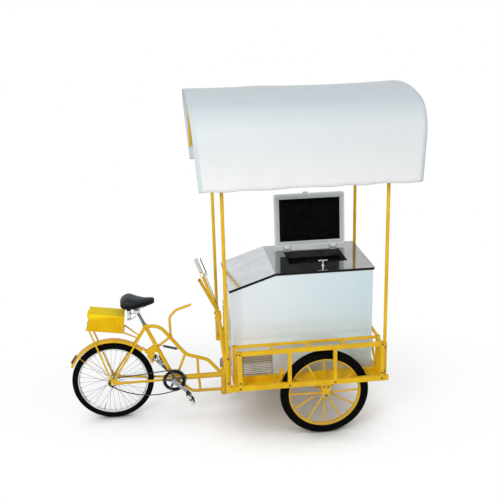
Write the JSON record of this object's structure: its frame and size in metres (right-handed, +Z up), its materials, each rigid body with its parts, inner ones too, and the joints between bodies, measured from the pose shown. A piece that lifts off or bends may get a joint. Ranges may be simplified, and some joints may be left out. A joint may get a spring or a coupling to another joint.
{
  "type": "freezer cargo tricycle",
  "caption": "Pedal cargo tricycle carrying a chest freezer with an open lid under a barrel canopy, rear half steering about a kingpin.",
  "frame": {"origin": "middle of the overall box, on the ground between the wheels", "axes": "X forward from the saddle to the cargo bed, Y to the rider's left, Z up"},
  "size_m": [2.6549, 1.22, 2.6],
  "materials": {
    "yellow_paint": "gloss",
    "white_enamel": "gloss",
    "stainless": "polished",
    "bright_steel": "polished",
    "grey_steel": "satin",
    "black_plastic": "gloss",
    "dark_trim": "satin",
    "cream_plastic": "satin",
    "white_plastic": "satin",
    "grip_plastic": "satin",
    "white_vinyl": "satin",
    "foam": "matt",
    "rubber": "matt",
    "tyre_rubber": "matt",
    "pale_rubber": "matt",
    "saddle_cover": "satin",
    "black_steel": "satin",
    "cap_paint": "satin",
    "reflector": "gloss"
  },
  "bodies": {
    "cargo": {"bed_frame": "yellow_paint", "bed_floor": "yellow_paint", "side_racks": "yellow_paint", "front_gate": "yellow_paint", "front_axles": "bright_steel", "post_sockets": "yellow_paint", "canopy_posts": "yellow_paint", "canopy_frame": "yellow_paint", "canopy_cover": "white_vinyl", "steering_yoke": "yellow_paint", "kingpin": "grey_steel", "kingpin_cap": "cap_paint", "steering_column": "yellow_paint", "handlebar": "yellow_paint", "left_grip": "grip_plastic", "lever_clamp": "bright_steel", "brake_cable": "rubber", "cabinet": "white_enamel", "liner": "black_plastic", "insulation": "foam", "flat_top": "stainless", "slope_top": "stainless", "top_trim": "dark_trim", "vent_grille": "cream_plastic", "compressor": "black_steel", "lid_hinges": "bright_steel"},
    "front_brake": {"front_brake": "yellow_paint"},
    "freezer_lid": {"lid_shell": "white_plastic", "lid_pan": "black_plastic", "lid_gasket": "pale_rubber"},
    "lid_latch": {"latch_handle": "bright_steel"},
    "hand_lever": {"hand_lever": "black_steel"},
    "right_front_wheel": {"right_front_wheel": "yellow_paint", "right_front_tyre": "tyre_rubber"},
    "left_front_wheel": {"left_front_wheel": "yellow_paint", "left_front_tyre": "tyre_rubber"},
    "rear_frame": {"rear_frame": "yellow_paint", "rear_rack": "yellow_paint", "tool_box": "yellow_paint", "mudguard": "yellow_paint", "tail_reflector": "reflector", "rear_axle": "bright_steel", "brake_spring": "black_steel", "chain": "black_steel"},
    "rear_wheel": {"rear_hub": "bright_steel", "rear_spokes": "bright_steel", "rear_rim": "bright_steel", "rear_tyre": "tyre_rubber"},
    "freewheel": {"freewheel": "black_steel"},
    "crankset": {"chainring": "black_steel", "crank_arms": "bright_steel"},
    "right_pedal": {"right_pedal": "rubber"},
    "left_pedal": {"left_pedal": "rubber"},
    "seat": {"seat_post": "bright_steel", "saddle_frame": "bright_steel", "saddle": "saddle_cover"},
    "toolbox_lid": {"toolbox_lid": "yellow_paint"},
    "brake_lever": {"brake_lever": "yellow_paint"},
    "brake_link": {"brake_link": "yellow_paint"},
    "brake_shoe": {"brake_shoe": "yellow_paint"}
  },
  "joints": [
    {"name": "steering", "type": "hinge", "parent": "cargo", "child": "rear_frame", "pos_m": [-0.1175, 0, 0.261], "axis": [0, 0, 1], "range_deg": [-35, 35]},
    {"name": "right_front_wheel_spin", "type": "hinge", "parent": "cargo", "child": "right_front_wheel", "pos_m": [0.6125, -0.505, 0.342], "axis": [0, 1, 0], "continuous": true},
    {"name": "left_front_wheel_spin", "type": "hinge", "parent": "cargo", "child": "left_front_wheel", "pos_m": [0.6125, 0.505, 0.342], "axis": [0, 1, 0], "continuous": true},
    {"name": "freezer_lid_close", "type": "hinge", "parent": "cargo", "child": "freezer_lid", "pos_m": [0.6475, 0.2345, 1.274], "axis": [1, 0, 0], "range_deg": [0, 95]},
    {"name": "lid_latch_turn", "type": "hinge", "parent": "cargo", "child": "lid_latch", "pos_m": [0.6595, -0.224, 1.304], "axis": [0, 0, 1], "range_deg": [0, 90]},
    {"name": "front_brake_turn", "type": "hinge", "parent": "cargo", "child": "front_brake", "pos_m": [0.2595, 0, 0.413], "axis": [0, 1, 0], "range_deg": [0, 8], "stiffness_Nm_per_rad": 6, "springref_deg": -11.46},
    {"name": "hand_lever_squeeze", "type": "hinge", "parent": "cargo", "child": "hand_lever", "pos_m": [-0.21452, 0.18213, 1.11219], "axis": [0, -0.8394, 0.5435], "range_deg": [0, 8]},
    {"name": "rear_wheel_spin", "type": "hinge", "parent": "rear_frame", "child": "rear_wheel", "pos_m": [-1.0025, 0, 0.325], "axis": [0, 1, 0], "continuous": true},
    {"name": "crank_spin", "type": "hinge", "parent": "rear_frame", "child": "crankset", "pos_m": [-0.5185, 0, 0.305], "axis": [0, 1, 0], "continuous": true, "deforming": ["chain"]},
    {"name": "freewheel_spin", "type": "hinge", "parent": "rear_frame", "child": "freewheel", "pos_m": [-1.0025, 0, 0.325], "axis": [0, 1, 0], "continuous": true},
    {"name": "right_pedal_spin", "type": "hinge", "parent": "crankset", "child": "right_pedal", "pos_m": [-0.39829, -0.131, 0.18479], "axis": [0, 1, 0], "continuous": true},
    {"name": "left_pedal_spin", "type": "hinge", "parent": "crankset", "child": "left_pedal", "pos_m": [-0.63871, 0.131, 0.42521], "axis": [0, 1, 0], "continuous": true},
    {"name": "seat_height", "type": "slide", "parent": "rear_frame", "child": "seat", "axis": [-0.397, 0, 0.9178], "range_m": [-0.05, 0.06]},
    {"name": "toolbox_lid_open", "type": "hinge", "parent": "rear_frame", "child": "toolbox_lid", "pos_m": [-1.15403, 0, 0.91559], "axis": [0, -1, 0], "range_deg": [0, 105]},
    {"name": "brake_lever_pull", "type": "hinge", "parent": "rear_frame", "child": "brake_lever", "pos_m": [-0.5265, 0.03, 0.655], "axis": [0, -1, 0], "range_deg": [0, 2], "stiffness_Nm_per_rad": 12, "springref_deg": -17.19, "deforming": ["brake_spring"]},
    {"name": "brake_link_swing", "type": "hinge", "parent": "brake_lever", "child": "brake_link", "pos_m": [-0.6755, 0.043, 0.562], "axis": [0, 1, 0], "range_deg": [0, 11.8]},
    {"name": "brake_shoe_swing", "type": "hinge", "parent": "rear_frame", "child": "brake_shoe", "pos_m": [-0.7265, 0, 0.555], "axis": [0, 1, 0], "range_deg": [0, 5.8]}
  ],
  "couplings": [
    {"joint": "freewheel_spin", "follows": "crank_spin", "ratio": 2.5556},
    {"joint": "hand_lever_squeeze", "follows": "front_brake_turn", "ratio": 1},
    {"joint": "brake_link_swing", "follows": "brake_lever_pull", "ratio": 5.85},
    {"joint": "brake_shoe_swing", "follows": "brake_lever_pull", "ratio": 2.87}
  ]
}
